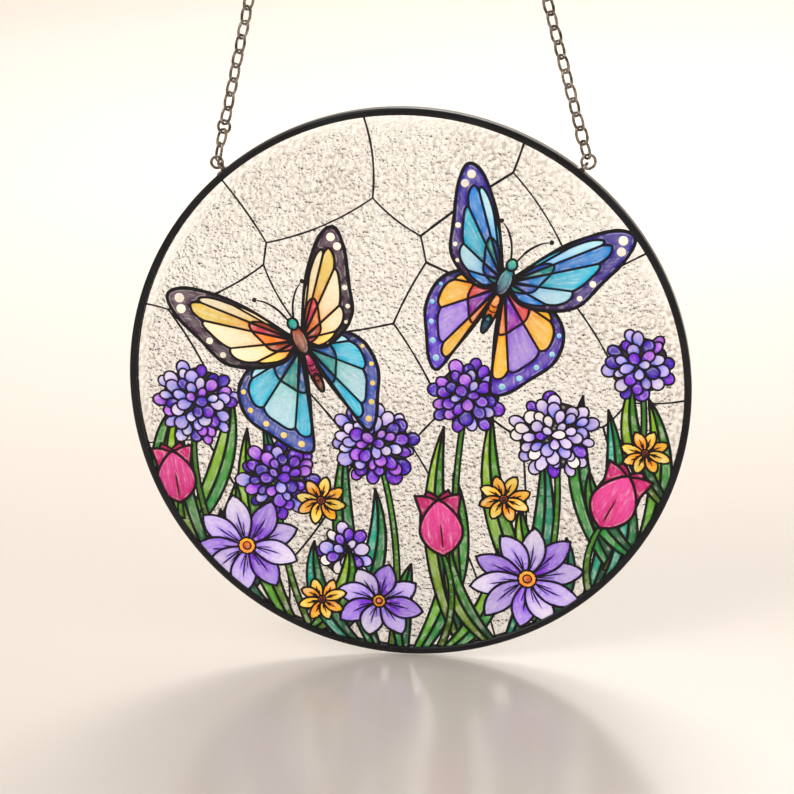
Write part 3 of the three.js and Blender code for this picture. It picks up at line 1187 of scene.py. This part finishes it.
def colour_sheet(piece, members, cells, cut_points, depths):
    """Gives every corner its inks and its place along the grain, and every point its depth in its cell."""
    mesh = piece.data
    inks = mesh.attributes.new("Ink", "FLOAT_COLOR", "CORNER")
    hearts = mesh.attributes.new("Heart", "FLOAT_COLOR", "CORNER")
    grain = mesh.uv_layers.new(name="Grain")
    deep = mesh.attributes.new("Depth", "FLOAT", "POINT")
    for point, depth in zip(deep.data, depths):
        point.value = depth
    tones = {}
    for polygon, (triangle, top) in zip(mesh.polygons, members):
        cell = cells[top]
        if top not in tones:
            draws = random.Random(top)
            lift = draws.uniform(0.86, 1.12)
            base, tip, *given = [Vector(linear(INKS[ink])) for ink in cell.inks]
            heart = given[0] if given else tip.lerp(Vector(linear(INKS["white"])), 0.3)
            turn = math.radians(cell.angle)
            ahead = Vector((math.cos(turn), math.sin(turn)))
            tones[top] = (base * lift, tip * lift, heart * lift, ahead, draws.uniform(0, 90))
        base, tip, heart, ahead, shift = tones[top]
        for loop, i in zip(polygon.loop_indices, triangle):
            offset = cut_points[i] - Vector(cell.origin)
            along = offset.dot(ahead)
            across = offset.dot(ahead.orthogonal())
            share = max(0.0, min(1.0, along / cell.length))
            share = share * share * (3 - 2 * share)
            tone = base.lerp(tip, share)
            inks.data[loop].color = (*tone[:3], 1)
            hearts.data[loop].color = (*heart[:3], 1)
            grain.data[loop].uv = (along + shift, across + shift * 1.7)


# ---- The rim, with its two eyes ----


def upright(place, turn_y, turn_z):
    """A matrix that turns about Z, then about Y, then moves to a place."""
    return Matrix.Translation(place) @ Matrix.Rotation(turn_y, 4, "Y") @ Matrix.Rotation(turn_z, 4, "Z")


def circle(radius, steps):
    """A circle in the XZ plane, clockwise as seen from the front."""
    turns = [2 * math.pi * i / steps for i in range(steps)]
    return [Vector((radius * math.sin(t), 0, radius * math.cos(t))) for t in turns]


EYE_SINK = 0.0009  # how far the eyes' wire is let into the rim
TAIL_BACK = 0.0009  # the left eye's tail starts this far behind the rim's middle
TAIL_LENGTH = 0.0036
TAIL_TURN = 82  # degrees to the side of straight back
SOLDER = ((0.0, 0.0009), (0.0007, 0.0008), (0.0011, 0.0004), (0.0016, 0.0001), (0.0021, -0.0001),
          (0.0021, -0.0006), (0.0001, -0.0006))  # the mound round an eye's foot


def make_rim(settings):
    half, inner, web = settings.depth / 2, RIM_RADIUS - settings.face, RIM_RADIUS - settings.web
    channel = PANE_BACK + 0.0002
    front = crown(inner, RIM_RADIUS, half)
    profile = [(web, -channel), (web, channel), (inner, channel)] + front
    profile += [(r, -y) for r, y in reversed(front)]
    profile.append((inner, -channel))
    shape = Shape()
    centre = Vector((PANE_CENTRE.x, 0, PANE_CENTRE.z))
    shape.lathe(profile, 288, Matrix.Translation(centre))
    piece = new_piece("black_rim", shape.points, shape.faces, rim_material(settings))
    mark_sharp(piece, 50)
    return piece


def make_eyes(settings, wire, material):
    """The two hanging eyes soldered to the rim. The left one's wire ends in a short tail."""
    centre = Vector((PANE_CENTRE.x, 0, PANE_CENTRE.z))
    shape = Shape()
    for side in (-1, 1):
        angle = side * eye_angle()
        out = Vector((math.sin(angle), 0, math.cos(angle)))
        eye_radius = (settings.eye_hole + wire) / 2
        foot = centre + out * RIM_RADIUS
        place = centre + out * (RIM_RADIUS - EYE_SINK + wire + settings.eye_hole / 2)
        steps = 40
        shape.loop(circle(eye_radius, steps), [wire / 2] * steps, 12, upright(place, angle, math.pi / 2))
        shape.lathe(SOLDER, 20, upright(foot, angle, 0) @ Matrix.Rotation(math.pi / 2, 4, "X"))
    angle = -eye_angle()
    foot = centre + Vector((math.sin(angle), 0, math.cos(angle))) * RIM_RADIUS + Vector((0, TAIL_BACK, 0))
    tail = [Vector((0, TAIL_LENGTH * i / 6, 0)) for i in range(7)]
    radii = [wire / 2] * 5 + [wire * 0.46, wire * 0.34]
    shape.rod(tail, radii, 12, upright(foot, angle, math.radians(TAIL_TURN)))
    return new_piece("hanging_eyes", shape.points, shape.faces, material)


def crown(inner, outer, top, steps=16):
    """Points (r, y) across one face of the rim: highest in its middle, and rounded to both sides."""
    ridge, half = (inner + outer) / 2, (outer - inner) / 2
    points = []
    for i in range(steps + 1):
        swell = math.sin(math.pi * (0.04 + 0.92 * i / steps)) ** 0.55
        points.append((ridge - half * math.cos(math.pi * i / steps), top - CROWN * (1 - swell)))
    return points


def eye_angle():
    """Angle of the eyes from the rim's top, from where the jump rings hang."""
    spot = middle("right_jump_ring") - PANE_CENTRE
    return math.atan2(spot.x, spot.z)


# ---- Rings and chain ----


class Leg:
    """One leg of the chain: the line it hangs along, and where each piece is on it."""

    turns = {"left": (5, -55, -120, -190), "right": (15, -45, 35)}

    def __init__(self, side):
        self.side = side
        self.foot = middle(f"{side}_jump_ring")
        self.along = (RING_CENTRE - self.foot).normalized()
        self.nodes = {}
        for number in range(1, LOOSE_LINKS + 1):
            name = f"{side}_link_{number:02d}"
            self.nodes[number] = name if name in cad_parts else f"{side}_joining_ring"
        self.pitch = (middle(self.nodes[LOOSE_LINKS]) - middle(self.nodes[LOOSE_LINKS - 1])).length

    def turn(self, number):
        """Turn of a piece about the leg, in degrees from facing front."""
        given = self.turns[self.side]
        if number < len(given):
            return given[number]
        return 90 * (number + 1) - LINK_TWIST * min((CHAIN_LINKS - number) / TWIST_LINKS, 1)

    def place(self, number):
        if number <= LOOSE_LINKS:
            return middle(self.nodes[number]) if number else self.foot
        last = middle(self.nodes[LOOSE_LINKS])
        return last + self.along * self.pitch * (number - LOOSE_LINKS)

    def matrix(self, number):
        stand = Vector((0, 0, 1)).rotation_difference(self.along).to_matrix().to_4x4()
        turn = Matrix.Rotation(math.radians(self.turn(number)), 4, "Z")
        return Matrix.Translation(self.place(number)) @ stand @ turn


def seamed(path, radius, seam):
    """Radii along a wire, with a fine joint at one point."""
    radii = [radius] * len(path)
    radii[seam] = radius * 0.86
    return radii


def link_path(width, length, wire, steps=34):
    """The middle line of a link's wire: an oval with full flanks."""
    across, reach = (width - wire) / 2, (length - wire) / 2
    path = []
    for i in range(steps):
        turn = 2 * math.pi * i / steps
        side, rise = math.sin(turn), math.cos(turn)
        full = abs(side) ** 0.8 * (1 if side >= 0 else -1)
        path.append(Vector((across * full, 0, reach * rise)))
    return path, steps // 4


def make_chain(side, settings, material):
    leg = Leg(side)
    length = leg.pitch + settings.play + 2 * settings.wire
    path, seam = link_path(settings.width, length, settings.wire)
    radii = seamed(path, settings.wire / 2, seam)
    shape = Shape()
    replaced = [f"{side}_upper_chain"]
    for number in range(1, CHAIN_LINKS + 1):
        if leg.nodes.get(number, "").endswith("ring"):
            continue
        shape.loop(path, radii, 10, leg.matrix(number))
        if number <= LOOSE_LINKS:
            replaced.append(leg.nodes[number])
    piece = new_piece(f"{side}_chain", shape.points, shape.faces, material)
    settle(piece, "aged_nickel", *replaced)


def make_ring(name, node, radius, wire, matrix, material):
    """A ring of round wire with a fine joint."""
    steps = 56
    path = circle(radius, steps)
    shape = Shape()
    shape.loop(path, seamed(path, wire / 2, steps // 3), 16, matrix)
    piece = new_piece(name, shape.points, shape.faces, material)
    settle(piece, "aged_nickel", node)


# ---- Operators ----


class SUNCATCHER_OT_stage(Operator):
    """Make the camera, the floor, the soft lights and the world"""

    bl_idname = "suncatcher.stage"
    bl_label = "Stage"

    def execute(self, context):
        settings = context.scene.suncatcher_stage
        make_camera(context, settings)
        make_floor(settings)
        make_lights()
        return {"FINISHED"}


def make_camera(context, settings):
    context.scene.view_settings.view_transform = "Standard"
    camera = bpy.data.objects.new("camera", bpy.data.cameras.new("camera"))
    context.scene.collection.objects.link(camera)
    context.scene.camera = camera
    camera.data.lens = settings.lens
    camera.data.sensor_width = 36
    camera.data.clip_start = 0.01
    az, el = settings.azimuth, settings.elevation
    back = Vector((math.sin(az) * math.cos(el), -math.cos(az) * math.cos(el), math.sin(el)))
    forward = -back
    right = forward.cross(Vector((0, 0, 1))).normalized()
    up = right.cross(forward)
    forward = Matrix.Rotation(settings.pan, 3, up) @ forward
    right = forward.cross(up).normalized()
    forward = Matrix.Rotation(-settings.tilt, 3, right) @ forward
    up = right.cross(forward)
    lean = Matrix.Rotation(settings.roll, 3, forward)
    right, up = lean @ right, lean @ up
    turn = Matrix((right, up, -forward)).transposed().to_4x4()
    camera.matrix_world = Matrix.Translation(PANE_CENTRE + back * settings.distance) @ turn


def make_floor(settings):
    """A round floor that curves up into an open-topped wall."""
    steps = 96
    top = 2.2
    bend = 1.0
    flat = settings.floor_radius
    profile = [(0.0, 0.0)] + [(flat * i / 6, 0.0) for i in range(1, 7)]
    profile += arc((flat, bend), bend, -82.5, 0, 11)
    profile.append((flat + bend, top))
    ground = CAD_LOW.z - FLOOR_GAP
    points = []
    for r, z in profile:
        for i in range(steps):
            turn = 2 * math.pi * i / steps
            points.append(Vector((PANE_CENTRE.x + r * math.cos(turn), r * math.sin(turn), ground + z)))
    faces = []
    for k in range(len(profile) - 1):
        for i in range(steps):
            n = (i + 1) % steps
            a, b = k * steps, (k + 1) * steps
            if k == 0:
                faces.append((0, b + i, b + n))
            else:
                faces.append((a + i, b + i, b + n, a + n))
    finish = Finish("pale_floor")
    cloud = finish.noise(finish.place(), 2.5, 3)
    tone = finish.mix(cloud, list(settings.floor_colour), [c * 0.94 for c in settings.floor_colour[:3]] + [1])
    material = finish.shade({"Base Color": tone, "Roughness": 0.2})
    new_piece("floor", points, faces, material)


def make_light(name, place, target, size, power, colour=(1, 1, 1)):
    light = bpy.data.lights.new(name, "AREA")
    light.shape = "RECTANGLE"
    light.size, light.size_y = size
    light.energy = power
    light.color = colour
    lamp = bpy.data.objects.new(name, light)
    bpy.context.scene.collection.objects.link(lamp)
    lamp.location = place
    lamp.rotation_mode = "QUATERNION"
    lamp.rotation_quaternion = (Vector(target) - Vector(place)).to_track_quat("-Z", "Y")
    lamp.visible_camera = False
    return lamp


def make_lights():
    world = bpy.data.worlds.new("studio")
    bpy.context.scene.world = world
    world.use_nodes = True
    background = world.node_tree.nodes["Background"]
    background.inputs["Color"].default_value = (1.0, 0.975, 0.94, 1)
    background.inputs["Strength"].default_value = 0.55
    centre = PANE_CENTRE
    make_light("key", centre + Vector((-1.2, -1.5, 1.5)), centre, (1.4, 1.4), 22, (1, 0.97, 0.93))
    make_light("fill", centre + Vector((1.7, -1.2, 0.7)), centre, (1.6, 1.6), 7, (0.95, 0.97, 1))
    make_light("window", centre + Vector((0.3, 1.7, 1.2)), centre, (1.4, 1.0), 9, (1, 0.985, 0.96))
    pool, backdrop = centre + Vector((-0.05, 0.95, 0.9)), centre + Vector((0.0, 2.4, 2.0))
    make_light("pool", pool, centre + Vector((-0.1, 1.05, -0.1)), (0.5, 0.4), 7.5, (1, 0.985, 0.96))
    make_light("backdrop", backdrop, centre + Vector((0.0, 2.6, -0.1)), (2.4, 1.6), 34, (1, 0.985, 0.96))


class SUNCATCHER_OT_glass(Operator):
    """Make the hammered glass pane"""

    bl_idname = "suncatcher.glass"
    bl_label = "Glass"

    def execute(self, context):
        settle(make_glass(context.scene.suncatcher_glass), "hammered_glass", "glass_pane")
        return {"FINISHED"}


class SUNCATCHER_OT_picture(Operator):
    """Draw the picture and make its inks and black lines"""

    bl_idname = "suncatcher.picture"
    bl_label = "Picture"

    def execute(self, context):
        for piece in make_picture(context.scene.suncatcher_picture, context.scene.suncatcher_glass.dimple):
            settle(piece, "hammered_glass")
        return {"FINISHED"}


class SUNCATCHER_OT_rim(Operator):
    """Make the black rim and its two hanging eyes"""

    bl_idname = "suncatcher.rim"
    bl_label = "Rim"

    def execute(self, context):
        settings, chain = context.scene.suncatcher_rim, context.scene.suncatcher_chain
        settle(make_rim(settings), "black_rim", "rim")
        settle(make_eyes(settings, chain.wire, nickel_material(chain)), "aged_nickel")
        return {"FINISHED"}


class SUNCATCHER_OT_chains(Operator):
    """Make both legs of chain, the small rings and the hanging ring"""

    bl_idname = "suncatcher.chains"
    bl_label = "Chains and rings"

    def execute(self, context):
        settings = context.scene.suncatcher_chain
        nickel = nickel_material(settings)
        for side in ("left", "right"):
            make_chain(side, settings, nickel)
            leg = Leg(side)
            name = f"{side}_jump_ring"
            make_ring(f"{side}_lower_ring", name, ring_radius(name, settings.wire), settings.wire,
                      leg.matrix(0), nickel)
        name = "left_joining_ring"
        radius = ring_radius(name, settings.wire)
        make_ring("left_small_ring", name, radius, settings.wire, Leg("left").matrix(3), nickel)
        low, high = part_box("hanging_ring")
        wire = 0.0018
        make_ring("top_ring", "hanging_ring", (high.x - low.x - wire) / 2, wire,
                  Matrix.Translation(RING_CENTRE), nickel)
        return {"FINISHED"}


def ring_radius(node, wire):
    """Radius of a ring's middle line, from its height."""
    low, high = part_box(node)
    return (high.z - low.z - wire) / 2


class SUNCATCHER_PT_sidebar(Panel):
    """The pieces and their settings"""

    bl_label = "Suncatcher"
    bl_space_type = "VIEW_3D"
    bl_region_type = "UI"
    bl_category = "Suncatcher"

    def draw(self, context):
        for label, (settings_class, operator) in SUBJECTS.items():
            box = self.layout.box()
            if operator:
                box.operator(operator)
            settings = getattr(context.scene, "suncatcher_" + label)
            for name in settings_class.__annotations__:
                box.prop(settings, name)


SUBJECTS = {
    "stage": (StageSettings, "suncatcher.stage"),
    "glass": (GlassSettings, "suncatcher.glass"),
    "picture": (PictureSettings, "suncatcher.picture"),
    "rim": (RimSettings, "suncatcher.rim"),
    "chain": (ChainSettings, "suncatcher.chains"),
}
CLASSES = (
    StageSettings,
    GlassSettings,
    PictureSettings,
    RimSettings,
    ChainSettings,
    SUNCATCHER_OT_stage,
    SUNCATCHER_OT_glass,
    SUNCATCHER_OT_picture,
    SUNCATCHER_OT_rim,
    SUNCATCHER_OT_chains,
    SUNCATCHER_PT_sidebar,
)


def register():
    for item in CLASSES:
        bpy.utils.register_class(item)
    for label, (settings_class, _) in SUBJECTS.items():
        setattr(bpy.types.Scene, "suncatcher_" + label, PointerProperty(type=settings_class))


def unregister():
    for label in SUBJECTS:
        delattr(bpy.types.Scene, "suncatcher_" + label)
    for item in reversed(CLASSES):
        bpy.utils.unregister_class(item)


def main():
    register()
    bpy.ops.suncatcher.stage()
    bpy.ops.suncatcher.glass()
    bpy.ops.suncatcher.picture()
    bpy.ops.suncatcher.rim()
    bpy.ops.suncatcher.chains()


if __name__ == "__main__":
    main()
